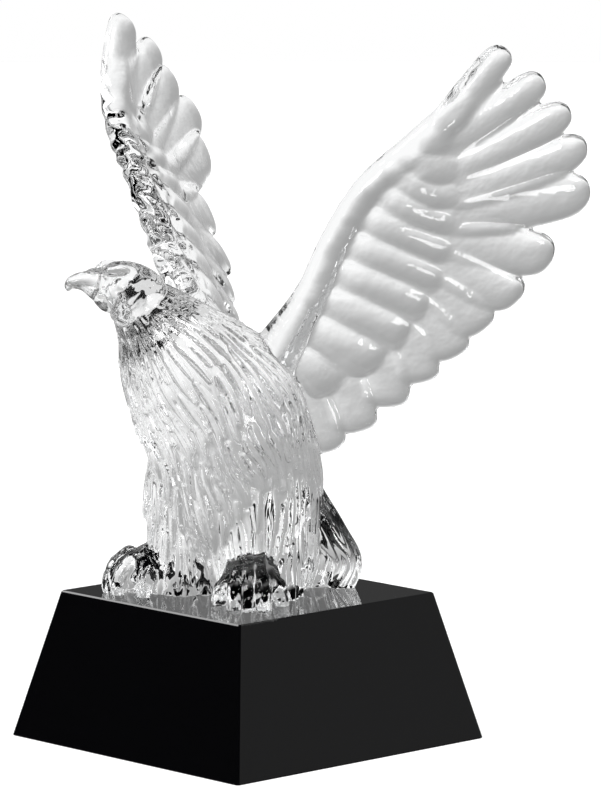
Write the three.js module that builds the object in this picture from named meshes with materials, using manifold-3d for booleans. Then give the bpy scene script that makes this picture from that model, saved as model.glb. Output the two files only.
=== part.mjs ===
// A cast crystal eagle with raised wings, standing on a black crystal plinth with slanting sides.
// Millimetres, +Z up. The origin is the centre of the plinth's underside, and the eagle faces -Y.
import * as THREE from 'three';
import { mergeVertices } from 'three/addons/utils/BufferGeometryUtils.js';
import Module from 'manifold-3d';

const wasm = await Module();
wasm.setup();

// Plinth
const plinthFoot = 127; // side of the square underside
const plinthTop = 100; // side of the square top
const plinthHeight = 56;
const plinthChamfer = 0.5; // polished bevel along every edge

// The eagle is a free form: all its own numbers below are written for a figure 212 tall, and scale with it
const eagleHeight = 212; // plinth top to the highest wing tip
const eagleScale = eagleHeight / 212;

// The stops of each curve are [out to the eagle's left, back, up], from the wrist down to the body
const armCurve = [
  [97, 23, 195], [91, 15, 184], [80, 6, 172], [64.5, 0, 157.5],
  [50, -2, 138], [37, -2.5, 116], [22, -2.5, 97], [7, -2, 80],
];
const armWide = [3.5, 5.8, 5, 5.2, 5.5, 6, 9, 13];
const armDeep = [3.5, 5.8, 5.6, 5.4, 5.6, 6.2, 8.5, 12];
const wingFront = [
  [88, 12, 179], [79, 7, 170], [68, 3, 159], [55, 2, 143], [43, 2, 125], [31, 1, 107], [18, 0, 91],
];
const wingMiddle = [
  [91, 15, 184], [84, 23, 164], [78, 30, 147], [70, 33, 128], [59, 32, 110], [43, 27, 91], [20, 12, 75],
];
const wingBack = [ // one stop to a flight feather
  [105, 32, 210], [107, 49, 198], [110, 60, 186], [108, 71, 172], [106, 75, 155],
  [95, 67, 130], [81, 63, 113], [69.5, 55.5, 101], [60, 50, 90.5],
  [49, 42, 80.5], [38, 35, 71], [29, 29.5, 61], [20, 22.5, 53],
];
const flightFeathers = wingBack.length;
const flightWide = [8.4, 9.2, 10.4, 10.2, 9, 9.4, 9.4];
const flightThick = 4;
const coverts = 10;
const covertThick = 5.5;
const covertMiddle = 0.27; // shares of the way from the wing's front to its tips
const covertReach = 0.27;
const covertStep = 0.04; // how far each covert's tip stands back beyond the groove beside it
const flightRoot = 0.32;
const featherTilt = 0.15; // radians, so that each feather's edge overlaps the next

// The trunk runs from the foot of the belly up to the nape
const trunkCurve = [
  [0, 8, -8], [0, 5, 18], [0, 0, 38], [0, -8, 58],
  [0, -19, 77], [-1, -33, 93], [-4, -46, 109], [-7, -57, 119],
];
const trunkWide = [17, 20, 26, 30.5, 33, 28, 15, 8];
const trunkDeep = [24, 27, 32, 31, 29, 22.5, 14, 8];
const lockColumns = 36; // two columns to a lock of feathers
const lockRows = 8; // three rings to a lock
const lockRelief = 1.5;

const headSpot = new THREE.Vector3(-7.5, -59, 123); // between the eyes
const headTurn = THREE.MathUtils.degToRad(-28); // towards the eagle's right

const footSpot = [18, -14]; // middle of the left foot on the plinth
const footTurn = THREE.MathUtils.degToRad(43); // outwards from straight ahead
const rightStep = [-3, -10]; // how far the right leg stands out and ahead of the left one's mirror image
const toes = 5;
const toeSpread = 11.5; // how far the outer toes stand to either side
const toeReach = 20;
const toeSwing = 13; // how far the outer toes stand back behind the middle one
const tailFeathers = 7;
const tailSpread = 18.5;

const right = new THREE.Vector3(1, 0, 0);
const crystal = new THREE.MeshStandardMaterial({
  color: 0xe9ecee, roughness: 0.05, metalness: 0, transparent: true, opacity: 0.35,
});
const blackCrystal = new THREE.MeshStandardMaterial({ color: 0x050506, roughness: 0.08, metalness: 0 });

// A value that runs smoothly through evenly spaced stops, at a share from 0 to 1
function through(stops, share) {
  const place = THREE.MathUtils.clamp(share, 0, 1) * (stops.length - 1);
  const i = Math.min(Math.floor(place), stops.length - 2);
  const at = (k) => stops[THREE.MathUtils.clamp(k, 0, stops.length - 1)];
  const t = place - i;
  const [a, b, c, d] = [at(i - 1), at(i), at(i + 1), at(i + 2)];
  return b + 0.5 * t * (c - a + t * (2 * a - 5 * b + 4 * c - d + t * (3 * (b - c) + d - a)));
}

function along(stops, share) {
  return [0, 1, 2].map((k) => through(stops.map((stop) => stop[k]), share));
}

function heading(stops, share) {
  const ahead = new THREE.Vector3(...along(stops, Math.min(share + 0.01, 1)));
  return ahead.sub(new THREE.Vector3(...along(stops, Math.max(share - 0.01, 0)))).normalize();
}

// How far a form has opened at a share from 0 to 1, rounding off over the given stretch at either end
function rounded(share, stretch) {
  const close = Math.min(1, Math.min(share, 1 - share) / stretch);
  return Math.sqrt(1 - (1 - close) ** 2);
}

// A closed skin: a sphere's rings, from pole to pole, moved to where place(share, angle, ring, column) says
function skin(columns, rings, place) {
  const ball = new THREE.SphereGeometry(1, columns, rings);
  ball.deleteAttribute('normal');
  ball.deleteAttribute('uv');
  const closed = mergeVertices(ball);
  const spots = closed.getAttribute('position');
  for (let i = 0; i < spots.count; i += 1) {
    const share = (1 - spots.getY(i)) / 2;
    const angle = Math.atan2(spots.getZ(i), -spots.getX(i));
    const ring = Math.round(Math.acos(1 - 2 * share) / Math.PI * rings);
    const column = Math.round((angle / (2 * Math.PI) + 1) * columns);
    spots.setXYZ(i, ...place(share, angle, ring, column).toArray());
  }
  return closed;
}

// A round or flat limb along a curve, with its half-sizes towards side and square to it at even stops
function limb(curve, wide, deep, side, columns, rings, stretch, relief = () => 0) {
  return skin(columns, rings, (share, angle, ring, column) => {
    const ahead = heading(curve, share);
    const across = side.clone().addScaledVector(ahead, -side.dot(ahead)).normalize();
    const proud = across.clone().cross(ahead);
    const open = rounded(share, stretch);
    const raised = relief(ring, column);
    return new THREE.Vector3(...along(curve, share))
      .addScaledVector(across, (through(wide, share) + raised) * open * Math.cos(angle))
      .addScaledVector(proud, (through(deep, share) + raised) * open * Math.sin(angle));
  });
}

// Wing: a sheet through three curves, at a share along the span and a share back from the front
function onWing(span, back) {
  const stops = [wingFront, wingMiddle, wingBack].map((curve) => along(curve, span));
  return new THREE.Vector3(...along(stops, back));
}

function wingAxes(span, back) {
  const ahead = onWing(span, back + 0.01).sub(onWing(span, back - 0.01)).normalize();
  const side = onWing(Math.min(span + 0.01, 1), back).sub(onWing(Math.max(span - 0.01, 0), back));
  side.addScaledVector(ahead, -side.dot(ahead)).normalize();
  return { ahead, side, proud: side.clone().cross(ahead) };
}

// A feather on the sheet, widest two thirds of the way to its round tip
function flightFeather(span, wide) {
  return skin(6, 5, (share, angle) => {
    const back = THREE.MathUtils.lerp(flightRoot, 1, share);
    const { ahead, side, proud } = wingAxes(span, back);
    const swell = through([0.9, 1, 1, 0.88], share) * rounded(share, 0.25);
    return onWing(span, back)
      .addScaledVector(side.applyAxisAngle(ahead, featherTilt), wide * swell * Math.cos(angle))
      .addScaledVector(proud.applyAxisAngle(ahead, featherTilt), flightThick * swell * Math.sin(angle));
  });
}

// The short feathers between the arm and the flight feathers: one fluted sheet with a stepped, scalloped end
function covertSheet() {
  return skin(10, 2 * coverts + 1, (share, angle, ring) => {
    const span = THREE.MathUtils.clamp((ring - 0.5) / (2 * coverts), 0, 1);
    const crest = ring % 2;
    const open = Math.min(ring, 2 * coverts + 1 - ring, 1);
    const back = covertMiddle + (covertReach + covertStep * crest) * open * Math.cos(angle);
    const thick = covertThick * (crest ? 1 : 0.6) * open;
    return onWing(span, back).addScaledVector(wingAxes(span, back).proud, -thick * Math.sin(angle));
  });
}

function wing() {
  const pieces = [limb(armCurve, armWide, armDeep, new THREE.Vector3(0, 1, 0), 9, 9, 0.08), covertSheet()];
  for (let i = 0; i < flightFeathers; i += 1) {
    const span = i / (flightFeathers - 1);
    pieces.push(flightFeather(span, through(flightWide, span)));
  }
  return pieces;
}

// Locks of feathers in rows, each standing proud at its lower tip, and each row set between the last
function locks(ring, column) {
  const row = Math.floor(ring / 3);
  return (column + row) % 2 === 0 ? lockRelief * [0, 1, 0.6][ring % 3] : -0.5 * lockRelief;
}

function trunk() {
  return limb(trunkCurve, trunkWide, trunkDeep, right, lockColumns, 3 * lockRows, 0.1, locks);
}

function head() {
  const skullCurve = [[0, 17, -15], [0, 9, -8], [0, 2, -4], [0, -4, -3.4], [0, -9, -2.5]];
  const beakCurve = [
    [0, -2, -3.4], [0, -7.5, -1.5], [0, -12, -0.4], [0, -15.2, -0.5], [0, -17.2, -1.5], [0, -17.9, -4],
  ];
  const beakWide = [7.5, 5.6, 4.1, 3, 2.1, 1.1];
  const beakDeep = [8.6, 5.8, 3.7, 2.8, 2.1, 1.1];
  const cereCurve = [[0, -4.5, 2.9], [0, -8, 2.7], [0, -11.5, 1.8]];
  const browCurve = [[6, 4, 3.4], [7.4, -1, 4.5], [5, -6.5, 3.3]];
  const eyeCurve = [[8.2, 2, -0.8], [8.6, 0, -0.8], [8.2, -2, -0.8]];
  const skull = limb(skullCurve, [11, 10.5, 9.5, 7.5, 4.5], [11, 12, 11, 8.3, 5.6], right, 12, 8, 0.3);
  const beak = limb(beakCurve, beakWide, beakDeep, right, 8, 8, 0.12);
  const cere = limb(cereCurve, [3.8, 4, 3.2], [1.6, 1.7, 1.4], right, 8, 4, 0.4);
  const brow = limb(browCurve, [1.8, 2.3, 1.4], [1.6, 2, 1.2], right, 6, 5, 0.4);
  const eye = limb(eyeCurve, [1.6, 1.6, 1.6], [1.9, 1.9, 1.9], right, 6, 4, 0.5);
  const pieces = [skull, beak, cere, brow, eye, mirrored(brow), mirrored(eye)];
  return pieces.map((piece) => piece.rotateZ(headTurn).translate(...headSpot.toArray()));
}

function thigh() {
  const curve = [[13, -3, -10], [13.5, -4, 14], [13, -4, 38], [11, -2, 62]];
  return limb(curve, [13, 14, 15.5, 14], [15, 17, 19, 18], right, 18, 9, 0.15, locks);
}

// A domed foot that points along -Y before it is turned, with its claws down on the plinth
function foot() {
  const domeCurve = [[0, 20, 3], [0, 8, 8], [0, -5, 8], [0, -18, 2]];
  const pieces = [limb(domeCurve, [11, 13, 12.5, 7], [10, 15, 12, 5], right, 12, 6, 0.25)];
  for (let i = 0; i < toes; i += 1) {
    const fan = (i / (toes - 1)) * 2 - 1;
    const [x, y] = [toeSpread * fan, toeSwing * fan ** 2 - toeReach];
    const side = new THREE.Vector3(-y, x, 0).normalize();
    const stops = [[0.45, 15], [0.75, 12], [0.97, 6], [1.02, -2]];
    const curve = stops.map(([out, up]) => [out * x, out * y, up]);
    pieces.push(limb(curve, [2.9, 3.2, 2.9, 2.2], [4, 4.2, 3.2, 2.6], side, 7, 5, 0.15));
  }
  return pieces.map((piece) => piece.rotateZ(footTurn).translate(...footSpot, 0));
}

// Tail: a fan of feathers down to the plinth, over the wedge that carries it
function tail() {
  const pieces = [limb([[0, 4, 18], [0, 18, 11], [0, 33, 3]], [8, 11, 17], [16, 15, 12], right, 12, 6, 0.2)];
  for (let i = 0; i < tailFeathers; i += 1) {
    const spread = (i / (tailFeathers - 1)) * 2 - 1;
    const round = 1 - 0.08 * spread ** 2;
    const stops = [[0.35, 14, 58], [0.5, 22, 38], [0.8, 32, 21], [1, 38, 9], [0.9, 33, -4]];
    const curve = stops.map(([x, y, z]) => [tailSpread * spread * x, y * round, z]);
    pieces.push(limb(curve, [4, 4.6, 5, 5, 4], [7, 7, 6, 5, 5], right, 6, 7, 0.12));
  }
  return pieces;
}

function mirrored(geometry) {
  const twin = geometry.clone().scale(-1, 1, 1);
  const order = twin.getIndex();
  for (let i = 0; i < order.count; i += 3) {
    const first = order.getX(i);
    order.setX(i, order.getX(i + 1));
    order.setX(i + 1, first);
  }
  return twin;
}

function solid(geometry) {
  return new wasm.Manifold(new wasm.Mesh({
    numProp: 3,
    vertProperties: Float32Array.from(geometry.getAttribute('position').array),
    triVerts: Uint32Array.from(geometry.getIndex().array),
  }));
}

// The cast figure: all its forms in one solid, cut off flat where it stands on the plinth
function eagle() {
  const leg = [thigh(), ...foot()];
  const rightLeg = leg.map((piece) => mirrored(piece).translate(...rightStep, 0));
  const leftWing = wing();
  const pieces = [trunk(), ...head(), ...tail(), ...leg, ...rightLeg, ...leftWing, ...leftWing.map(mirrored)];
  const whole = pieces.map(solid).reduce((joined, piece) => joined.add(piece));
  const room = 2 * eagleHeight;
  const below = new THREE.BoxGeometry(room, room, room).translate(0, 0, -room / 2);
  below.deleteAttribute('normal');
  below.deleteAttribute('uv');
  const { vertProperties, triVerts } = whole.subtract(solid(mergeVertices(below))).getMesh();
  const figure = new THREE.BufferGeometry();
  figure.setAttribute('position', new THREE.BufferAttribute(vertProperties, 3));
  figure.setIndex(new THREE.BufferAttribute(triVerts, 1));
  return figure.scale(eagleScale, eagleScale, eagleScale).translate(0, 0, plinthHeight);
}

function plinth() {
  const half = plinthTop / 2 - plinthChamfer;
  const cut = plinthChamfer;
  const outline = new THREE.Shape([
    [half, half - cut], [half - cut, half], [cut - half, half], [-half, half - cut],
    [-half, cut - half], [cut - half, -half], [half - cut, -half], [half, cut - half],
  ].map(([x, y]) => new THREE.Vector2(x, y)));
  const block = new THREE.ExtrudeGeometry(outline, {
    depth: plinthHeight - 2 * cut, bevelEnabled: true, bevelThickness: cut, bevelSize: cut, bevelSegments: 1,
  });
  block.translate(0, 0, cut);
  const spots = block.getAttribute('position');
  for (let i = 0; i < spots.count; i += 1) {
    const widen = THREE.MathUtils.lerp(plinthFoot / plinthTop, 1, spots.getZ(i) / plinthHeight);
    spots.setXY(i, spots.getX(i) * widen, spots.getY(i) * widen);
  }
  block.deleteAttribute('normal');
  block.deleteAttribute('uv');
  return mergeVertices(block);
}

function named(name, geometry, material) {
  const mesh = new THREE.Mesh(geometry, material);
  mesh.name = name;
  return mesh;
}

const sculpture = new THREE.Group();
sculpture.add(named('plinth', plinth(), blackCrystal), named('eagle', eagle(), crystal));

export default sculpture;
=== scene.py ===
"""A clear crystal eagle on a black crystal plinth, with their finishes and a plain studio."""

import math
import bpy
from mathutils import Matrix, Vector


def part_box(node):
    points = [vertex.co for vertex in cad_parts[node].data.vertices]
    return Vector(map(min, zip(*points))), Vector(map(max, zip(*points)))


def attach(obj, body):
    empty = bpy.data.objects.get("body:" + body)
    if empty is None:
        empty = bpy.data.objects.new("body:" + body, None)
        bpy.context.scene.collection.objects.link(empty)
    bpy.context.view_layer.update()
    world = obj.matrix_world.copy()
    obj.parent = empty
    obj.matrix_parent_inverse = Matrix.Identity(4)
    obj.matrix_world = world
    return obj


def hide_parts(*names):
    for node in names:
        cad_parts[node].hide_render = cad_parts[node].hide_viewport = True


bl_info = {
    "name": "Crystal Eagle",
    "version": (1, 0, 0),
    "blender": (4, 5, 0),
    "location": "View3D > Sidebar > Crystal Eagle",
    "description": "Casts a clear crystal eagle, polishes its black crystal plinth and lights both",
    "category": "Object",
}

import bpy
import numpy as np
from bpy.props import FloatProperty, FloatVectorProperty, IntProperty, PointerProperty
from mathutils import Vector

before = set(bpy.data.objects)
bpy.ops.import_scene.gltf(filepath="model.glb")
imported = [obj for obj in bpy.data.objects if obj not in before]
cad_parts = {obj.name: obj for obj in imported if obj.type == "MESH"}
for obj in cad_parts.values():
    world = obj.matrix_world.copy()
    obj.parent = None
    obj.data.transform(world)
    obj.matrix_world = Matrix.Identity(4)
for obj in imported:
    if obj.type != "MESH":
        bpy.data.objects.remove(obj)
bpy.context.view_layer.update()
EAGLE_LOW, EAGLE_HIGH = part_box("eagle")
PLINTH_LOW, PLINTH_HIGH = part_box("plinth")
PLINTH_TOP = PLINTH_HIGH.z

# The eagle's numbers are millimetres for a figure this tall, its feet at height 0, and scale with the frame.
# A stop of a curve is [out to the eagle's left, back, up]. WIDE and DEEP are half-sizes at even stops.
FIGURE_HEIGHT = 210.897
MM = (EAGLE_HIGH.z - EAGLE_LOW.z) / FIGURE_HEIGHT
RIGHT = (1, 0, 0)
BACK = (0, 1, 0)

ARM_CURVE = [
    [97, 23, 195], [91, 15, 184], [80, 6, 172], [64.5, 0, 157.5],
    [50, -2, 138], [37, -2.5, 116], [22, -2.5, 97], [7, -2, 80],
]
ARM_WIDE = [3.5, 5.8, 5, 5.2, 5.5, 6, 9, 13]
ARM_DEEP = [3.5, 5.8, 5.6, 5.4, 5.6, 6.2, 8.5, 12]
WING_FRONT = [
    [88, 12, 179], [79, 7, 170], [68, 3, 159], [55, 2, 143], [43, 2, 125], [31, 1, 107], [18, 0, 91],
]
WING_MIDDLE = [
    [91, 15, 184], [84, 23, 164], [78, 30, 147], [70, 33, 128], [59, 32, 110], [43, 27, 91], [20, 12, 75],
]
WING_BACK = [
    [105, 32, 210], [107, 49, 198], [110, 60, 186], [108, 71, 172], [106, 75, 155],
    [95, 67, 130], [81, 63, 113], [69.5, 55.5, 101], [60, 50, 90.5],
    [49, 42, 80.5], [38, 35, 71], [29, 29.5, 61], [20, 22.5, 53],
]
FLIGHT_WIDE = [8.4, 9.2, 10.4, 10.2, 9, 9.4, 9.4]
FLIGHT_THICK = 4.0
FLIGHT_SWELL = [0.9, 1, 1, 0.86]
FLIGHT_ROOT = 0.32
FEATHER_TILT = 0.15
COVERT_THICK = 5.5
COVERT_MIDDLE = 0.27
COVERT_REACH = 0.27
COVERT_STEP = 0.015
COVERTS = 10
COVERT_SQUARE = 0.5

TRUNK_CURVE = [
    [0, 8, -8], [0, 5, 18], [0, 0, 38], [0, -8, 58],
    [0, -19, 77], [-1, -33, 93], [-4, -46, 109], [-7, -57, 119],
]
TRUNK_WIDE = [17, 20, 26, 30.5, 33, 28, 15, 8]
TRUNK_DEEP = [24, 27, 32, 31, 29, 22.5, 14, 8]
TRUNK_LOCKS = 46
TRUNK_SWAY = 0.7
CLEFT_DEEP = 5
CLEFT_WIDE = 0.14
CLEFT_TOP = 0.42
THIGH_CURVE = [[13, -3, -10], [13.5, -4, 14], [13, -4, 38], [11, -2, 62]]
THIGH_WIDE = [13, 14, 15.5, 14]
THIGH_DEEP = [15, 17, 19, 18]
THIGH_LOCKS = 28
THIGH_SWAY = 0.5

HEAD_SPOT = (-7.5, -59, 123)
HEAD_TURN = math.radians(-28)
SKULL_CURVE = [[0, 17, -15], [0, 9, -8], [0, 2, -4], [0, -4, -3.4], [0, -9, -2.5]]
SKULL_WIDE = [11, 10.5, 9.5, 7.5, 4.5]
SKULL_DEEP = [11, 12, 11, 8.3, 5.6]
BEAK_CURVE = [
    [0, -2, -3.4], [0, -7.5, -1.5], [0, -12, -0.4], [0, -15.2, -0.5], [0, -17.2, -1.5], [0, -17.9, -4],
]
BEAK_WIDE = [7.5, 5.6, 4.1, 3, 2.1, 1.1]
BEAK_DEEP = [8.6, 5.8, 3.7, 2.8, 2.1, 1.1]
CERE_CURVE = [[0, -4.5, 2.9], [0, -8, 2.7], [0, -11.5, 1.8]]
CERE_WIDE = [3.8, 4, 3.2]
CERE_DEEP = [1.6, 1.7, 1.4]
BROW_CURVE = [[6, 4, 3.4], [7.4, -1, 4.5], [5, -6.5, 3.3]]
BROW_WIDE = [1.8, 2.3, 1.4]
BROW_DEEP = [1.6, 2, 1.2]
EYE_SPOT = (8.2, 0, -0.8)
EYE_SIZE = 1.9
EYE_RING = 3.0
EYE_RING_WIDE = 0.5
EYE_RING_DEEP = 0.9
# Heights of the mouth's line at even steps from the cheek to this far forward
MOUTH_HEIGHTS = [-4.2, -3, -1.9, -1.9]
MOUTH_LONG = 15
MOUTH_WIDE = 0.6
MOUTH_DEEP = 0.9

FOOT_SPOT = (18, -14, 0)
FOOT_TURN = math.radians(43)
RIGHT_STEP = (-3, -10, 0)
FOOT_DOME = [[0, 20, 3], [0, 8, 8], [0, -5, 8], [0, -18, 2]]
FOOT_WIDE = [11, 11.5, 9.5, 5.5]
FOOT_DEEP = [10, 14.5, 10.5, 4]
TOES = 5
TOE_SPREAD = 11.5
TOE_REACH = 20
TOE_SWING = 13
# How far out along the toe's reach, and how high
TOE_STOPS = [(0.45, 15), (0.76, 11.5), (0.97, 6), (1.02, -2)]
TOE_WIDE = [2.9, 3.2, 2.9, 2.2]
TOE_DEEP = [4, 4.2, 3.2, 2.6]
TOE_DROP = 0.4
TAIL_WEDGE = [[0, 4, 18], [0, 18, 11], [0, 33, 3]]
TAIL_FEATHERS = 7
TAIL_SPREAD = 18.5
# Share of the spread, how far back and how high
TAIL_STOPS = [(0.35, 14, 58), (0.5, 22, 38), (0.8, 32, 21), (1, 38, 9), (0.9, 33, -4)]
TAIL_WIDE = [4, 4.6, 5, 5, 4]
TAIL_DEEP = [7, 7, 6, 5, 5]
TAIL_BOW = 0.08

# The skin is smoothed and scaly fully this near an arm and not at all this far, and only this far out
MERGE_INNER = 12
MERGE_OUTER = 24
WINGS_FROM = 30
WINGS_FADE = 6
# The left arm's scales beside the right one's, and the height where both end
FAINT_SCALES = 0.2
SCALES_TO = 182
SCALES_FADE = 18

# Where the photograph was taken from, round the object: degrees and metres
CAMERA_AZIMUTH = 46.778
CAMERA_ELEVATION = 8.245
CAMERA_DISTANCE = 2.1557
CAMERA_TARGET = (0.01377, 0.01465, 0.12891)
CAMERA_LENS = 258.17
CAMERA_SENSOR = 36.0


# Curves and skins

def through(stops, share):
    """The smooth value at a share from 0 to 1 along evenly spaced stops."""
    stops = np.asarray(stops, float)
    place = np.clip(share, 0, 1) * (len(stops) - 1)
    first = np.minimum(np.floor(place).astype(int), len(stops) - 2)
    step = place - first
    if stops.ndim > 1:
        step = step[..., None]
    a, b, c, d = (stops[np.clip(first + k, 0, len(stops) - 1)] for k in (-1, 0, 1, 2))
    return b + 0.5 * step * (c - a + step * (2 * a - 5 * b + 4 * c - d + step * (3 * (b - c) + d - a)))


def unit(vectors):
    return vectors / np.maximum(np.linalg.norm(vectors, axis=-1, keepdims=True), 1e-9)


def heading(curve, share):
    return unit(through(curve, np.minimum(share + 0.01, 1)) - through(curve, np.maximum(share - 0.01, 0)))


def rounded(share, stretch):
    """How far a form has opened, from 0 to 1, rounding off over a stretch at either end."""
    close = np.clip(np.minimum(share, 1 - share) / stretch, 0, 1)
    return np.sqrt(1 - (1 - close) ** 2)


def grid(rings, columns):
    """Shares along and angles round a closed skin, closer together towards its ends."""
    share = (1 - np.cos(np.linspace(0, np.pi, rings + 1))) / 2
    angle = np.linspace(0, 2 * np.pi, columns, endpoint=False)
    return np.meshgrid(share, angle, indexing="ij")


def limb(curve, wide, deep, side, columns, rings, stretch, relief=None):
    """A limb along a curve, with its half-sizes towards side and square to it at even stops."""
    share, angle = grid(rings, columns)
    ahead = heading(curve, share)
    side = np.asarray(side, float)
    across = unit(side - ahead * (ahead @ side)[..., None])
    proud = np.cross(across, ahead)
    opened = rounded(share, stretch)
    raised = 0 if relief is None else relief(share, angle)
    out = (through(wide, share) + raised) * opened * np.cos(angle)
    up = (through(deep, share) + raised) * opened * np.sin(angle)
    return through(curve, share) + across * out[..., None] + proud * up[..., None]


def turned(points, angle):
    """Points turned about the upright axis."""
    x, y = points[..., 0], points[..., 1]
    cos, sin = math.cos(angle), math.sin(angle)
    return np.stack([x * cos - y * sin, x * sin + y * cos, points[..., 2]], -1)


def mirrored(points):
    """The twin on the eagle's right, its columns run the other way so that its faces still point out."""
    return (points * (-1, 1, 1))[:, ::-1]


def chance(*cells):
    """A fixed pseudo-random number from 0 to 1 for each cell."""
    mixed = sum(cell * factor for cell, factor in zip(cells, (12.9898, 78.233, 37.719)))
    return np.modf(np.abs(np.sin(mixed) * 43758.5453))[0]


# Locks of feathers

def locks(around, along, columns, seed):
    """Height from 0 to 1 of pointed, overlapping locks, counting columns around and rows along."""
    height = np.zeros_like(around)
    column = np.floor(around)
    for beside in (-1, 0, 1):
        here = column + beside
        wrapped = np.mod(here, columns)
        shift = along + chance(wrapped, seed)
        row = np.floor(shift)
        for above in (-1, 0, 1):
            line = row + above
            sway = 0.5 * (chance(wrapped, line, seed + 1) - 0.5)
            reach = 0.75 + 0.35 * chance(wrapped, line, seed + 2)
            down = (shift - line) / reach
            across = (around - here - 0.5 - sway) / 0.62
            girth = np.sqrt(np.clip(1.02 - down, 0, 1)) * np.clip(0.35 + 2 * down, 0, 1)
            crest = np.clip(1 - (across / np.maximum(girth, 1e-3)) ** 2, 0, 1)
            inside = (down > 0) & (down < 1.02)
            height = np.maximum(height, np.where(inside, crest ** 0.55 * (0.35 + 0.65 * down), 0))
    return height


def lock_relief(form, curve, wide, columns, sway, seed):
    """A relief for limb(): rows of locks that wander down the form, half as many where it is thin."""
    long, height = form.lock_length, form.lock_height
    spots = through(curve, np.linspace(0, 1, 60))
    length = np.linalg.norm(np.diff(spots, axis=0), axis=1).sum()

    def relief(share, angle):
        down = (1 - share) * length
        wander = sway * (np.sin(down / 17 + 2 * angle) + 0.5 * np.sin(down / 7.5 - 3 * angle + seed))
        girth = through(wide, share) / max(wide)
        few = columns // 2
        full = locks(np.mod(angle / (2 * np.pi) * columns + wander, columns), down / long, columns, seed)
        thin = locks(np.mod(angle / (2 * np.pi) * few + wander / 2, few), down / long, few, seed)
        mixed = full + (thin - full) * np.clip((0.75 - girth) / 0.3, 0, 1)
        return height * (mixed - 0.5) * np.clip((girth - 0.3) / 0.45, 0.12, 1)

    return relief


# The eagle's forms

def on_wing(span, back):
    """A point of the wing's sheet, at a share along the span and a share back from the front."""
    stops = [through(curve, span) for curve in (WING_FRONT, WING_MIDDLE, WING_BACK)]
    place = np.clip(back, 0, 1) * 2
    first = np.minimum(np.floor(place).astype(int), 1)
    step = (place - first)[..., None]
    front, middle, tip = stops
    a, b, c, d = (
        np.where(first[..., None] == 0, low, high)
        for low, high in ((front, front), (front, middle), (middle, tip), (tip, tip))
    )
    return b + 0.5 * step * (c - a + step * (2 * a - 5 * b + 4 * c - d + step * (3 * (b - c) + d - a)))


def wing_axes(span, back):
    ahead = unit(on_wing(span, back + 0.01) - on_wing(span, back - 0.01))
    side = on_wing(np.minimum(span + 0.01, 1), back) - on_wing(np.maximum(span - 0.01, 0), back)
    side = unit(side - ahead * (ahead * side).sum(-1, keepdims=True))
    return ahead, side, np.cross(side, ahead)


def flight_feather(span, wide, columns, rings):
    """A feather on the wing's sheet: a round-tipped blade, a little thicker towards its edges."""
    share, angle = grid(rings, columns)
    back = FLIGHT_ROOT + (1 - FLIGHT_ROOT) * share
    spans = np.full_like(back, span)
    ahead, side, proud = wing_axes(spans, back)
    swell = through(FLIGHT_SWELL, share) * rounded(share, 0.2)
    leaning = side * math.cos(FEATHER_TILT) + np.cross(ahead, side) * math.sin(FEATHER_TILT)
    upright = proud * math.cos(FEATHER_TILT) + np.cross(ahead, proud) * math.sin(FEATHER_TILT)
    out = np.cos(angle)
    thick = FLIGHT_THICK * np.sin(angle) * (0.8 + 0.2 * out ** 2) * swell
    return on_wing(spans, back) + leaning * (wide * swell * out)[..., None] + upright * thick[..., None]


def covert_sheet(columns, rings):
    """The short feathers between the arm and the flight feathers: a fluted sheet with a scalloped end."""
    share, angle = grid(rings, columns)
    flute = np.abs(np.sin(np.pi * share * COVERTS))
    opened = rounded(share, 0.03)
    reach = (COVERT_REACH + COVERT_STEP * flute) * opened * np.cos(angle)
    back = COVERT_MIDDLE + reach
    proud = wing_axes(share, back)[2]
    square = np.where(np.cos(angle) > 0, COVERT_SQUARE, 1)
    height = np.sign(np.sin(angle)) * np.abs(np.sin(angle)) ** square
    thick = COVERT_THICK * (0.62 + 0.38 * flute ** 0.7) * opened * height
    return on_wing(share, back) - proud * thick[..., None]


def wing(detail):
    arm = limb(ARM_CURVE, ARM_WIDE, ARM_DEEP, BACK, 48 * detail, 90 * detail, 0.08)
    forms = [arm, covert_sheet(60 * detail, 260 * detail)]
    count = len(WING_BACK)
    for i in range(count):
        span = i / (count - 1)
        wide = float(through(FLIGHT_WIDE, np.float64(span)))
        forms.append(flight_feather(span, wide, 72 * detail, 90 * detail))
    return forms


def carved_eyes(points):
    """A ring carved round the eye into both sides of the head."""
    x, y, z = EYE_SPOT
    away = np.linalg.norm((np.abs(points[..., 0]) - x, points[..., 1] - y, points[..., 2] - z), axis=0)
    sunk = EYE_RING_DEEP * np.exp(-(((away - EYE_RING) / EYE_RING_WIDE) ** 2))
    return points - np.sign(points[..., :1]) * (1, 0, 0) * sunk[..., None]


def carved_mouth(points):
    """The line between the two halves of the beak, carved into both its sides."""
    line = through(MOUTH_HEIGHTS, np.clip(points[..., 1] / -MOUTH_LONG, 0, 1))
    sunk = MOUTH_DEEP * np.exp(-(((points[..., 2] - line) / MOUTH_WIDE) ** 2))
    return points - np.sign(points[..., :1]) * (1, 0, 0) * sunk[..., None]


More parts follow.
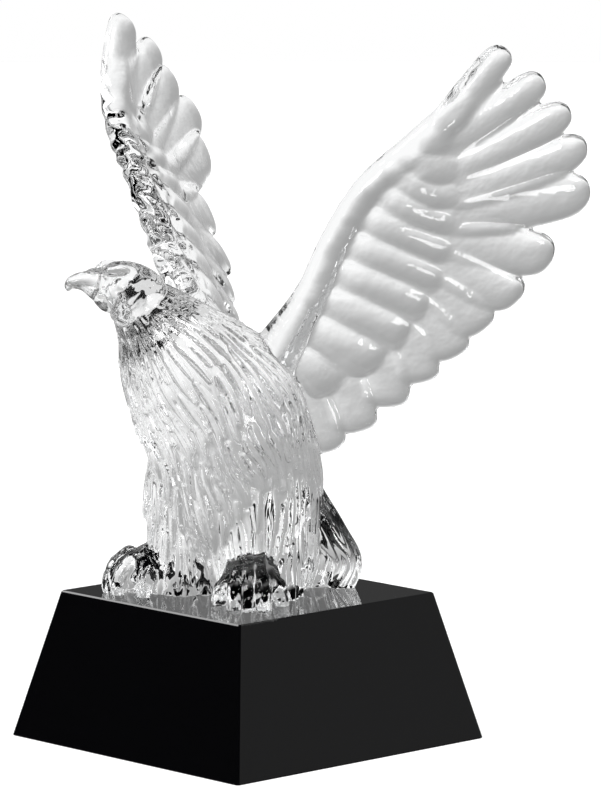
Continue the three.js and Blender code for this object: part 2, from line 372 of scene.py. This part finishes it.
def head(detail):
    skull = limb(SKULL_CURVE, SKULL_WIDE, SKULL_DEEP, RIGHT, 160 * detail, 120 * detail, 0.3)
    skull = carved_eyes(skull)
    beak = limb(BEAK_CURVE, BEAK_WIDE, BEAK_DEEP, RIGHT, 140 * detail, 120 * detail, 0.12)
    beak = carved_mouth(beak)
    cere = limb(CERE_CURVE, CERE_WIDE, CERE_DEEP, RIGHT, 32 * detail, 24 * detail, 0.4)
    brow = limb(BROW_CURVE, BROW_WIDE, BROW_DEEP, RIGHT, 24 * detail, 24 * detail, 0.4)
    x, y, z = EYE_SPOT
    eye_curve = [[x - 2, y, z], [x, y, z], [x + 1.2, y, z]]
    eye = limb(eye_curve, [EYE_SIZE] * 3, [EYE_SIZE] * 3, BACK, 24 * detail, 16 * detail, 0.5)
    forms = [skull, beak, cere, brow, eye, mirrored(brow), mirrored(eye)]
    return [turned(form, HEAD_TURN) + HEAD_SPOT for form in forms]


def foot(detail):
    def knuckles(share, angle):
        return 0.6 * np.sin(5 * angle + 5 * share) * np.sin(11 * share + 2 * angle)

    def wrinkles(share, angle):
        return 0.45 * np.cos(6 * angle) + 0.25 * np.sin(2 * angle + 23 * share)

    forms = [limb(FOOT_DOME, FOOT_WIDE, FOOT_DEEP, RIGHT, 120 * detail, 90 * detail, 0.3, knuckles)]
    for i in range(TOES):
        fan = i / (TOES - 1) * 2 - 1
        x, y = TOE_SPREAD * fan, TOE_SWING * fan ** 2 - TOE_REACH
        side = unit(np.array([-y, x, 0.0]))
        low = 1 - TOE_DROP * fan ** 2
        curve = [[out * x, out * y, up * low] for out, up in TOE_STOPS]
        forms.append(limb(curve, TOE_WIDE, TOE_DEEP, side, 32 * detail, 60 * detail, 0.15, wrinkles))
    return [turned(form, FOOT_TURN) + FOOT_SPOT for form in forms]


def tail(detail):
    def flutes(share, angle):
        return 0.6 * np.sin(5 * angle + 7 * share)

    forms = [limb(TAIL_WEDGE, [8, 11, 17], [16, 15, 12], RIGHT, 60 * detail, 40 * detail, 0.2)]
    for i in range(TAIL_FEATHERS):
        spread = i / (TAIL_FEATHERS - 1) * 2 - 1
        bow = 1 - TAIL_BOW * spread ** 2
        curve = [[TAIL_SPREAD * spread * x, y * bow, z] for x, y, z in TAIL_STOPS]
        forms.append(limb(curve, TAIL_WIDE, TAIL_DEEP, RIGHT, 60 * detail, 90 * detail, 0.12, flutes))
    return forms


def eagle_forms(form):
    """Every form of the cast figure as grids of points, overlapping, in millimetres."""
    detail = form.detail
    trunk_locks = lock_relief(form, TRUNK_CURVE, TRUNK_WIDE, TRUNK_LOCKS, TRUNK_SWAY, 3)
    thigh_locks = lock_relief(form, THIGH_CURVE, THIGH_WIDE, THIGH_LOCKS, THIGH_SWAY, 11)

    def breast(share, angle):
        """The trunk's locks, gentler behind, with the cleft between the thighs in front."""
        cleft = np.exp(-(((angle - np.pi / 2) / CLEFT_WIDE) ** 2)) * np.clip(1 - share / CLEFT_TOP, 0, 1)
        strength = np.clip(0.7 + 0.6 * np.sin(angle), 0.3, 1)
        return trunk_locks(share, angle) * strength - CLEFT_DEEP * np.sqrt(cleft)

    trunk = limb(TRUNK_CURVE, TRUNK_WIDE, TRUNK_DEEP, RIGHT, 640 * detail, 460 * detail, 0.1, breast)
    thigh = limb(THIGH_CURVE, THIGH_WIDE, THIGH_DEEP, RIGHT, 320 * detail, 260 * detail, 0.15, thigh_locks)
    leg = [thigh, *foot(detail)]
    right_leg = [mirrored(points) + RIGHT_STEP for points in leg]
    left_wing = wing(detail)
    right_wing = [mirrored(points) for points in left_wing]
    return [trunk, *head(detail), *tail(detail), *leg, *right_leg, *left_wing, *right_wing]


def skin_mesh(name, forms):
    """One mesh holding a closed skin for each grid of points."""
    points, faces, start = [], [], 0
    for form in forms:
        rings, columns = form.shape[:2]
        index = start + np.arange(rings * columns).reshape(rings, columns)
        beside = np.roll(index, -1, axis=1)
        quads = np.stack([index[:-1], index[1:], beside[1:], beside[:-1]], -1).reshape(-1, 4)
        points.append(form.reshape(-1, 3))
        faces.append(quads)
        start += rings * columns
    points, faces = np.concatenate(points), np.concatenate(faces)
    mesh = bpy.data.meshes.new(name)
    mesh.from_pydata((points * MM + (0, 0, PLINTH_TOP)).tolist(), [], faces.tolist())
    mesh.update()
    return mesh


def applied(piece):
    """Bakes a piece's modifiers into its mesh."""
    graph = bpy.context.evaluated_depsgraph_get()
    mesh = bpy.data.meshes.new_from_object(piece.evaluated_get(graph))
    piece.modifiers.clear()
    old = piece.data
    piece.data = mesh
    bpy.data.meshes.remove(old)


def read_vertices(piece, name):
    """The places or the normals of a piece's vertices."""
    values = np.empty(len(piece.data.vertices) * 3)
    piece.data.vertices.foreach_get(name, values)
    return values.reshape(-1, 3)


def by_the_arms(places):
    """How close points are to a wing's arm, from 0 to 1, and how far out on a wing."""
    places = np.abs(places * (1, 0, 0)) + places * (0, 1, 1)
    arm = through(ARM_CURVE, np.linspace(0, 0.93, 70))
    away = np.full(len(places), np.inf)
    for spot in arm:
        away = np.minimum(away, np.linalg.norm(places - spot, axis=1))
    close = np.clip((MERGE_OUTER - away) / (MERGE_OUTER - MERGE_INNER), 0, 1)
    outward = np.clip((places[:, 0] - WINGS_FROM) / WINGS_FADE, 0, 1)
    return close * outward, outward


def raise_scales(piece, height):
    """Small scales on the skin round the arms, plain on the right wing and faint on the left one."""
    places = read_vertices(piece, "co") / MM - (0, 0, PLINTH_TOP / MM)
    close = by_the_arms(places)[0] * np.where(places[:, 0] < 0, 1, FAINT_SCALES)
    x, y, z = places.T
    close = close * np.clip((SCALES_TO - z) / SCALES_FADE, 0, 1)
    bumps = np.sin(0.5 * x + 1.6 * np.sin(0.22 * z)) * np.sin(0.46 * z + 1.6 * np.sin(0.2 * y))
    bumps += 0.35 * np.sin(0.9 * y + 0.7 * z)
    moved = places + read_vertices(piece, "normal") * (height * close * bumps)[:, None]
    moved = moved * MM + (0, 0, PLINTH_TOP)
    piece.data.vertices.foreach_set("co", moved.ravel())
    piece.data.update()


def near_arms(piece):
    """Vertex groups of the skin of the wings, and of the skin round each wing's arm."""
    close, outward = by_the_arms(read_vertices(piece, "co") / MM - (0, 0, PLINTH_TOP / MM))
    for name, weights in (("near arms", close), ("wings", outward)):
        weights = np.round(weights, 1)
        group = piece.vertex_groups.new(name=name)
        for weight in np.unique(weights[weights > 0]):
            group.add(np.flatnonzero(weights == weight).tolist(), float(weight), "REPLACE")


def linked(name, mesh):
    piece = bpy.data.objects.new(name, mesh)
    bpy.context.scene.collection.objects.link(piece)
    return piece


def smoothed(piece, name, rounds, group=""):
    """A smoothing modifier, on a vertex group if one is named."""
    modifier = piece.modifiers.new(name, "SMOOTH")
    modifier.factor = 0.5
    modifier.iterations = rounds
    modifier.vertex_group = group


def cut_flat(piece, level):
    """Cuts off whatever of a piece lies under a level."""
    room = 4 * EAGLE_HIGH.z
    below = bpy.data.meshes.new("below")
    corners = [(x * room, y * room, z) for z in (-room, level) for y in (-1, 1) for x in (-1, 1)]
    sides = [(0, 2, 3, 1), (4, 5, 7, 6), (0, 1, 5, 4), (2, 6, 7, 3), (0, 4, 6, 2), (1, 3, 7, 5)]
    below.from_pydata(corners, [], sides)
    knife = linked("below", below)
    cut = piece.modifiers.new("cut", "BOOLEAN")
    cut.operation = "DIFFERENCE"
    cut.solver = "MANIFOLD"
    cut.object = knife
    applied(piece)
    bpy.data.objects.remove(knife)


def cast(form):
    """The eagle's forms melted into one closed skin, cut off flat just inside the plinth's top."""
    piece = linked("crystal_eagle", skin_mesh("crystal_eagle", eagle_forms(form)))
    melt = piece.modifiers.new("melt", "REMESH")
    melt.mode = "VOXEL"
    melt.voxel_size = form.grain
    melt.use_smooth_shade = True
    smoothed(piece, "soften", form.softening)
    applied(piece)
    near_arms(piece)
    smoothed(piece, "smooth wings", form.wing_softening, "wings")
    smoothed(piece, "merge arms", form.merging, "near arms")
    applied(piece)
    raise_scales(piece, form.scale_height)
    cut_flat(piece, PLINTH_TOP - form.bedding)
    triangles = sum(len(face.vertices) - 2 for face in piece.data.polygons)
    thin = piece.modifiers.new("thin", "DECIMATE")
    thin.ratio = min(1.0, form.triangles / triangles)
    applied(piece)
    piece.data.polygons.foreach_set("use_smooth", [True] * len(piece.data.polygons))
    return piece


# Finishes

CLEAR_HAZE_SCALE = 30
BLACK_HAZE_SCALE = 18
BLACK_RIPPLE_SCALE = 12


def group_socket(tree, name, direction, value=None):
    socket = tree.interface.new_socket(name=name, in_out=direction, socket_type="NodeSocketFloat")
    if value is not None:
        socket.default_value = value
    return socket


def node(tree, kind, **settings):
    """A shader node with its settings, each of its inputs linked to a socket or set to a value."""
    made = tree.nodes.new(kind)
    inputs = settings.pop("inputs", {})
    for key, value in settings.items():
        setattr(made, key, value)
    for key, value in inputs.items():
        if isinstance(value, bpy.types.NodeSocket):
            tree.links.new(value, made.inputs[key])
        else:
            made.inputs[key].default_value = value
    return made


def maths(tree, operation, *values):
    return node(tree, "ShaderNodeMath", operation=operation, inputs=dict(enumerate(values))).outputs[0]


def polish_group():
    """Hand polish: faint swirls of haze and a slow ripple left in the surface."""
    tree = bpy.data.node_groups.new("Hand polish", "ShaderNodeTree")
    group_socket(tree, "Roughness", "INPUT", value=0.02)
    group_socket(tree, "Haze", "INPUT", value=0.02)
    group_socket(tree, "Haze Scale", "INPUT", value=40)
    group_socket(tree, "Ripple Scale", "INPUT", value=90)
    group_socket(tree, "Roughness", "OUTPUT")
    group_socket(tree, "Ripple", "OUTPUT")
    into = node(tree, "NodeGroupInput")
    out = node(tree, "NodeGroupOutput")
    place = node(tree, "ShaderNodeTexCoord").outputs["Object"]
    haze = node(tree, "ShaderNodeTexNoise", inputs={
        "Vector": place, "Scale": into.outputs["Haze Scale"], "Detail": 5,
    })
    ripple = node(tree, "ShaderNodeTexNoise", inputs={
        "Vector": place, "Scale": into.outputs["Ripple Scale"], "Detail": 2,
    })
    patches = maths(tree, "MULTIPLY", maths(tree, "SUBTRACT", haze.outputs[0], 0.45), into.outputs["Haze"])
    rough = maths(tree, "MAXIMUM", maths(tree, "ADD", into.outputs["Roughness"], patches), 0)
    tree.links.new(rough, out.inputs["Roughness"])
    tree.links.new(ripple.outputs[0], out.inputs["Ripple"])
    return tree


def dressed(name, polish, look, haze_scale, ripple_scale):
    """A material whose Principled BSDF takes its roughness and ripple from the polish group."""
    material = bpy.data.materials.new(name)
    material.use_nodes = True
    tree = material.node_tree
    shader = tree.nodes["Principled BSDF"]
    group = node(tree, "ShaderNodeGroup", node_tree=polish)
    group.inputs["Roughness"].default_value = look.roughness
    group.inputs["Haze"].default_value = look.haze
    group.inputs["Haze Scale"].default_value = haze_scale
    group.inputs["Ripple Scale"].default_value = ripple_scale
    bump = node(tree, "ShaderNodeBump", inputs={
        "Strength": 1.0, "Distance": look.ripple_height, "Height": group.outputs["Ripple"],
    })
    tree.links.new(group.outputs["Roughness"], shader.inputs["Roughness"])
    tree.links.new(bump.outputs["Normal"], shader.inputs["Normal"])
    return material, shader


def clear_crystal(look, polish):
    material, shader = dressed("clear_crystal", polish, look, CLEAR_HAZE_SCALE, look.ripple_scale)
    shader.inputs["Base Color"].default_value = (*look.tint, 1)
    shader.inputs["Transmission Weight"].default_value = 1.0
    shader.inputs["Metallic"].default_value = 0.0
    shader.inputs["IOR"].default_value = look.bending
    return material


def black_crystal(look, polish):
    """Black that mirrors nothing into the bonded crystal, with a painted glow for rays that reach it from
    afar through the crystal.
    """
    material, shader = dressed("black_crystal", polish, look, BLACK_HAZE_SCALE, BLACK_RIPPLE_SCALE)
    shader.inputs["Base Color"].default_value = (*look.colour, 1)
    shader.inputs["Metallic"].default_value = 0.0
    shader.inputs["IOR"].default_value = look.bending
    tree = material.node_tree
    path = node(tree, "ShaderNodeLightPath")
    bonded = maths(tree, "MULTIPLY_ADD", path.outputs["Is Transmission Ray"], -0.5, 0.5)
    tree.links.new(bonded, shader.inputs["Specular IOR Level"])
    # Painted glow: white emission, hidden from the camera, for rays that reach the plinth from afar through
    # the crystal. It lightens dark parts of the figure, though the plinth is no lamp.
    painted_glow_ramp = node(tree, "ShaderNodeMapRange", interpolation_type="SMOOTHSTEP", inputs={
        "Value": path.outputs["Ray Length"],
        "From Min": look.painted_glow_from, "From Max": look.painted_glow_to, "To Max": look.lift,
    })
    unseen = maths(tree, "SUBTRACT", 1, path.outputs["Is Camera Ray"])
    shader.inputs["Emission Color"].default_value = (1, 1, 1, 1)
    tree.links.new(maths(tree, "MULTIPLY", painted_glow_ramp.outputs[0], unseen), shader.inputs["Emission Strength"])
    return material


# The studio

FLOOR_RADIUS = 3.0
FLOOR_STEPS = 96


def blend(tree, share, dark, light):
    """From dark to light by a share, each a socket or a grey level."""
    mix = node(tree, "ShaderNodeMix", data_type="RGBA")
    tree.links.new(share, mix.inputs[0])
    for place, value in ((6, dark), (7, light)):
        if isinstance(value, bpy.types.NodeSocket):
            tree.links.new(value, mix.inputs[place])
        else:
            mix.inputs[place].default_value = (value, value, value, 1)
    return mix.outputs[2]


def towards(azimuth, elevation):
    """The direction at an azimuth, from the front round to the eagle's left, and an elevation, in degrees."""
    azimuth, elevation = math.radians(azimuth), math.radians(elevation)
    flat = math.cos(elevation)
    return (math.sin(azimuth) * flat, -math.cos(azimuth) * flat, math.sin(elevation))


def lean(tree, direction, spot):
    """The cosine of the angle between a ray and a spot's azimuth and elevation."""
    both = {0: direction, 1: towards(*spot)}
    return node(tree, "ShaderNodeVectorMath", operation="DOT_PRODUCT", inputs=both).outputs["Value"]


def card(tree, direction, spot, inner, outer):
    """A round patch of the sky, 1 within the inner angle of a spot and 0 outside the outer one."""
    patch = node(tree, "ShaderNodeMapRange", interpolation_type="SMOOTHSTEP", inputs={
        "Value": lean(tree, direction, spot),
        "From Min": math.cos(math.radians(outer)), "From Max": math.cos(math.radians(inner)),
    })
    return patch.outputs[0]


def ramp(tree, value, stops):
    """Grey levels along a value that runs from -1 to 1."""
    share = maths(tree, "MULTIPLY_ADD", value, 0.5, 0.5)
    made = node(tree, "ShaderNodeValToRGB")
    made.color_ramp.interpolation = "B_SPLINE"
    points = made.color_ramp.elements
    while len(points) < len(stops):
        points.new(0.5)
    for point, (place, level) in zip(points, stops):
        point.position = place * 0.5 + 0.5
        point.color = (level, level, level, 1)
    tree.links.new(share, made.inputs[0])
    return made.outputs[0]


def studio_world(light):
    """White behind the figure, and a studio with bright boxes for the rays that it bends or mirrors."""
    world = bpy.data.worlds.new("studio")
    world.use_nodes = True
    tree = world.node_tree
    tree.nodes.clear()
    direction = node(tree, "ShaderNodeTexCoord").outputs["Generated"]
    path = node(tree, "ShaderNodeLightPath")
    deep, middle, pale = light.shade, light.backdrop, light.pale
    stops = [
        (-1, pale), (-0.7, pale), (-0.35, deep), (-0.1, (deep + middle) / 2),
        (0.1, middle), (0.3, pale), (1, pale),
    ]
    through_glass = ramp(tree, lean(tree, direction, (CAMERA_AZIMUTH + 90, -60)), stops)
    for spot, inner, outer, level in light_cards(light):
        through_glass = blend(tree, card(tree, direction, spot, inner, outer), through_glass, level)
    side = card(tree, direction, (CAMERA_AZIMUTH + 90, 12), 20, 75)
    mirrored_sky = blend(tree, side, light.gloss_dark, light.gloss_side)
    for spot, inner, outer, level in gloss_boxes(light):
        mirrored_sky = blend(tree, card(tree, direction, spot, inner, outer), mirrored_sky, level)
    seen = blend(tree, path.outputs["Is Transmission Ray"], mirrored_sky, through_glass)
    seen = blend(tree, path.outputs["Is Camera Ray"], seen, light.white)
    shade = node(tree, "ShaderNodeBackground", inputs={"Color": seen, "Strength": 1.0})
    out = node(tree, "ShaderNodeOutputWorld")
    tree.links.new(shade.outputs[0], out.inputs["Surface"])
    return world


def light_cards(light):
    """Bright boxes and a dim card seen through the crystal: spot, inner and outer angle, brightness."""
    return [
        ((CAMERA_AZIMUTH + 120, 20), 10, 24, light.bright),
        ((CAMERA_AZIMUTH - 125, 25), 10, 24, light.bright),
        ((CAMERA_AZIMUTH + 95, -20), 7, 14, light.shade),
    ]


def gloss_boxes(light):
    """Bright and dim boxes mirrored in the faces, listed in the same way."""
    return [
        ((CAMERA_AZIMUTH + 180, 8), 14, 60, light.gloss_pale),
        ((CAMERA_AZIMUTH + 180, 8), 7, 14, light.gloss_back),
        ((CAMERA_AZIMUTH - 135, 44), 8, 12, light.edge),
        ((CAMERA_AZIMUTH - 40, 62), 14, 20, light.box),
        ((CAMERA_AZIMUTH + 20, 50), 8, 12, light.box),
        ((CAMERA_AZIMUTH + 48, 0), 7, 10, light.box),
        ((CAMERA_AZIMUTH + 40, -30), 6, 8, light.box),
        ((CAMERA_AZIMUTH - 20, 12), 6, 9, light.box),
        ((CAMERA_AZIMUTH - 55, -5), 6, 9, light.box),
        ((CAMERA_AZIMUTH + 12, 26), 4, 7, light.box),
        ((CAMERA_AZIMUTH - 80, 35), 6, 11, light.box),
    ]


def floor(light):
    """A wide pale disc under the plinth that shows white with the faintest shade."""
    spots, wedges = [(0, 0, 0)], []
    for i in range(FLOOR_STEPS):
        turn = 2 * math.pi * i / FLOOR_STEPS
        spots.append((FLOOR_RADIUS * math.cos(turn), FLOOR_RADIUS * math.sin(turn), 0))
        wedges.append((0, 1 + i, 1 + (i + 1) % FLOOR_STEPS))
    mesh = bpy.data.meshes.new("floor")
    mesh.from_pydata(spots, [], wedges)
    piece = linked("floor", mesh)
    piece.location.z = PLINTH_LOW.z
    material = bpy.data.materials.new("pale_floor")
    material.use_nodes = True
    tree = material.node_tree
    tree.nodes.clear()
    grey = (light.floor_shade,) * 3
    matte = node(tree, "ShaderNodeBsdfDiffuse", inputs={"Color": (*grey, 1)})
    glow = node(tree, "ShaderNodeEmission", inputs={"Color": (1, 1, 1, 1), "Strength": light.floor_glow})
    both = node(tree, "ShaderNodeAddShader")
    tree.links.new(matte.outputs[0], both.inputs[0])
    tree.links.new(glow.outputs[0], both.inputs[1])
    out = node(tree, "ShaderNodeOutputMaterial")
    tree.links.new(both.outputs[0], out.inputs["Surface"])
    mesh.materials.append(material)
    piece.visible_transmission = False
    piece.visible_glossy = False
    return piece


def camera():
    """The camera at the photograph's place."""
    away = Vector(towards(CAMERA_AZIMUTH, CAMERA_ELEVATION))
    data = bpy.data.cameras.new("camera")
    data.lens = CAMERA_LENS
    data.sensor_width = CAMERA_SENSOR
    data.clip_start, data.clip_end = 0.01, 20
    piece = linked("camera", data)
    piece.location = Vector(CAMERA_TARGET) + away * CAMERA_DISTANCE
    piece.rotation_euler = (-away).to_track_quat("-Z", "Y").to_euler()
    bpy.context.scene.camera = piece
    return piece


# What a user would change

class EagleForm(bpy.types.PropertyGroup):
    detail: IntProperty(
        name="Detail", description="How finely each form is drawn before they are melted",
        default=1, min=1, max=3,
    )
    grain: FloatProperty(
        name="Grain", description="Size of the melted skin's cells",
        default=0.0006, subtype="DISTANCE",
    )
    softening: IntProperty(
        name="Softening", description="Rounds of smoothing after the melt",
        default=1, min=0,
    )
    wing_softening: IntProperty(
        name="Wing softening", description="More rounds of smoothing of the wings",
        default=8, min=0,
    )
    merging: IntProperty(
        name="Merging", description="Rounds of smoothing round the arms of the wings",
        default=90, min=0,
    )
    triangles: IntProperty(name="Triangles", description="Most triangles in the figure", default=190000)
    bedding: FloatProperty(
        name="Bedding", description="How far the figure sinks into the plinth's top, as a bonded one does",
        default=0.0002, subtype="DISTANCE",
    )
    lock_length: FloatProperty(
        name="Lock length", description="Length of a lock of feathers, in mm",
        default=26,
    )
    scale_height: FloatProperty(
        name="Scale height", description="How far a scale of the arm stands proud, in mm",
        default=0.6,
    )
    lock_height: FloatProperty(
        name="Lock height", description="How far a lock stands proud, in mm",
        default=2.8,
    )


class ClearLook(bpy.types.PropertyGroup):
    tint: FloatVectorProperty(
        name="Tint", description="Colour of the clear crystal",
        subtype="COLOR", default=(0.985, 0.99, 0.992),
    )
    bending: FloatProperty(name="Refraction", description="Index of refraction", default=1.36)
    roughness: FloatProperty(name="Roughness", description="Mean roughness of the polish", default=0.0)
    haze: FloatProperty(name="Haze", description="Extra roughness in its hazy patches", default=0.05)
    ripple_scale: FloatProperty(
        name="Ripple scale", description="How close its ripples are",
        default=150,
    )
    ripple_height: FloatProperty(
        name="Ripple height", description="Depth of the ripples",
        default=0.0003, subtype="DISTANCE",
    )


class BlackLook(bpy.types.PropertyGroup):
    colour: FloatVectorProperty(
        name="Colour", description="Colour of the black crystal",
        subtype="COLOR", default=(0.0006, 0.0006, 0.0008),
    )
    bending: FloatProperty(name="Refraction", description="Index of refraction", default=1.5)
    roughness: FloatProperty(name="Roughness", description="Mean roughness of the polish", default=0.03)
    haze: FloatProperty(name="Haze", description="Extra roughness in its hazy patches", default=0.03)
    ripple_height: FloatProperty(
        name="Ripple height", description="Depth of the ripples",
        default=0.00002, subtype="DISTANCE",
    )
    # Painted glow: the light that the black plinth gives off for rays that reach it from afar through the
    # crystal, though it is no lamp.
    lift: FloatProperty(
        name="Far light", description="Its light where the crystal shows it from afar",
        default=0.7,
    )
    painted_glow_from: FloatProperty(
        name="Far from", description="Distance where that light starts",
        default=0.038, subtype="DISTANCE",
    )
    painted_glow_to: FloatProperty(
        name="Far to", description="Distance where it is full",
        default=0.07, subtype="DISTANCE",
    )


class StudioLight(bpy.types.PropertyGroup):
    white: FloatProperty(name="White", description="Brightness of the bare background", default=1.0)
    backdrop: FloatProperty(name="Backdrop", description="Brightness behind the crystal", default=0.45)
    pale: FloatProperty(
        name="Pale side", description="Brightness above and below, through the crystal",
        default=1.12,
    )
    shade: FloatProperty(
        name="Shaded side", description="Brightness of the dimmer band, through the crystal",
        default=0.32,
    )
    bright: FloatProperty(
        name="Bright box", description="Brightness of the boxes through the crystal",
        default=1.8,
    )
    gloss_dark: FloatProperty(
        name="Mirrored dark", description="Brightness of the mirrored room",
        default=0.015,
    )
    gloss_side: FloatProperty(
        name="Mirrored side", description="Brightness of the mirrored side of the room",
        default=0.3,
    )
    gloss_back: FloatProperty(
        name="Mirrored back", description="Brightness the plinth's top mirrors",
        default=0.1,
    )
    gloss_pale: FloatProperty(
        name="Mirrored rim", description="Brightness the crystal's rims mirror",
        default=0.6,
    )
    edge: FloatProperty(
        name="Mirrored edge", description="Brightness of the boxes that draw the plinth's edges",
        default=5.0,
    )
    box: FloatProperty(
        name="Mirrored box", description="Brightness of the mirrored boxes",
        default=14.0,
    )
    floor_shade: FloatProperty(
        name="Floor shade", description="How much light the floor gives back",
        default=0.3,
    )
    floor_glow: FloatProperty(name="Floor glow", description="The floor's own white", default=0.75)


class CRYSTAL_OT_cast(bpy.types.Operator):
    """Casts the clear crystal eagle in place of its plain solid"""

    bl_idname = "crystal.cast"
    bl_label = "Cast the eagle"

    def execute(self, context):
        scene = context.scene
        piece = cast(scene.eagle_form)
        piece.data.materials.clear()
        piece.data.materials.append(clear_crystal(scene.clear_look, polish_tree()))
        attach(piece, "root")
        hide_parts("eagle")
        return {"FINISHED"}


class CRYSTAL_OT_polish_plinth(bpy.types.Operator):
    """Gives the plinth its black polish"""

    bl_idname = "crystal.polish_plinth"
    bl_label = "Polish the plinth"

    def execute(self, context):
        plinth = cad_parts["plinth"]
        material = black_crystal(context.scene.black_look, polish_tree())
        for place in plinth.material_slots:
            place.material = material
        return {"FINISHED"}


class CRYSTAL_OT_studio(bpy.types.Operator):
    """Sets up the floor, the light and the camera"""

    bl_idname = "crystal.studio"
    bl_label = "Set the studio"

    def execute(self, context):
        scene = context.scene
        scene.world = studio_world(scene.studio_light)
        scene.view_settings.view_transform = "Standard"
        floor(scene.studio_light)
        camera()
        return {"FINISHED"}


class CRYSTAL_PT_panel(bpy.types.Panel):
    """Every value of the eagle, its finishes and its studio"""

    bl_idname = "CRYSTAL_PT_panel"
    bl_label = "Crystal Eagle"
    bl_space_type = "VIEW_3D"
    bl_region_type = "UI"
    bl_category = "Crystal Eagle"

    def draw(self, context):
        for title, name, operator in STEPS:
            box = self.layout.box()
            box.label(text=title)
            values = getattr(context.scene, name)
            for key in type(values).__annotations__:
                box.prop(values, key)
            box.operator(operator)


STEPS = [
    ("Figure", "eagle_form", "crystal.cast"),
    ("Clear crystal", "clear_look", "crystal.cast"),
    ("Black crystal", "black_look", "crystal.polish_plinth"),
    ("Studio", "studio_light", "crystal.studio"),
]
VALUES = {
    "eagle_form": EagleForm, "clear_look": ClearLook, "black_look": BlackLook, "studio_light": StudioLight,
}
CLASSES = [*VALUES.values(), CRYSTAL_OT_cast, CRYSTAL_OT_polish_plinth, CRYSTAL_OT_studio, CRYSTAL_PT_panel]


def polish_tree():
    return bpy.data.node_groups.get("Hand polish") or polish_group()


def register():
    for item in CLASSES:
        bpy.utils.register_class(item)
    for name, kind in VALUES.items():
        setattr(bpy.types.Scene, name, PointerProperty(type=kind))


def unregister():
    for name in VALUES:
        delattr(bpy.types.Scene, name)
    for item in reversed(CLASSES):
        bpy.utils.unregister_class(item)


def main():
    register()
    bpy.ops.crystal.studio()
    bpy.ops.crystal.polish_plinth()
    bpy.ops.crystal.cast()


if __name__ == "__main__":
    main()
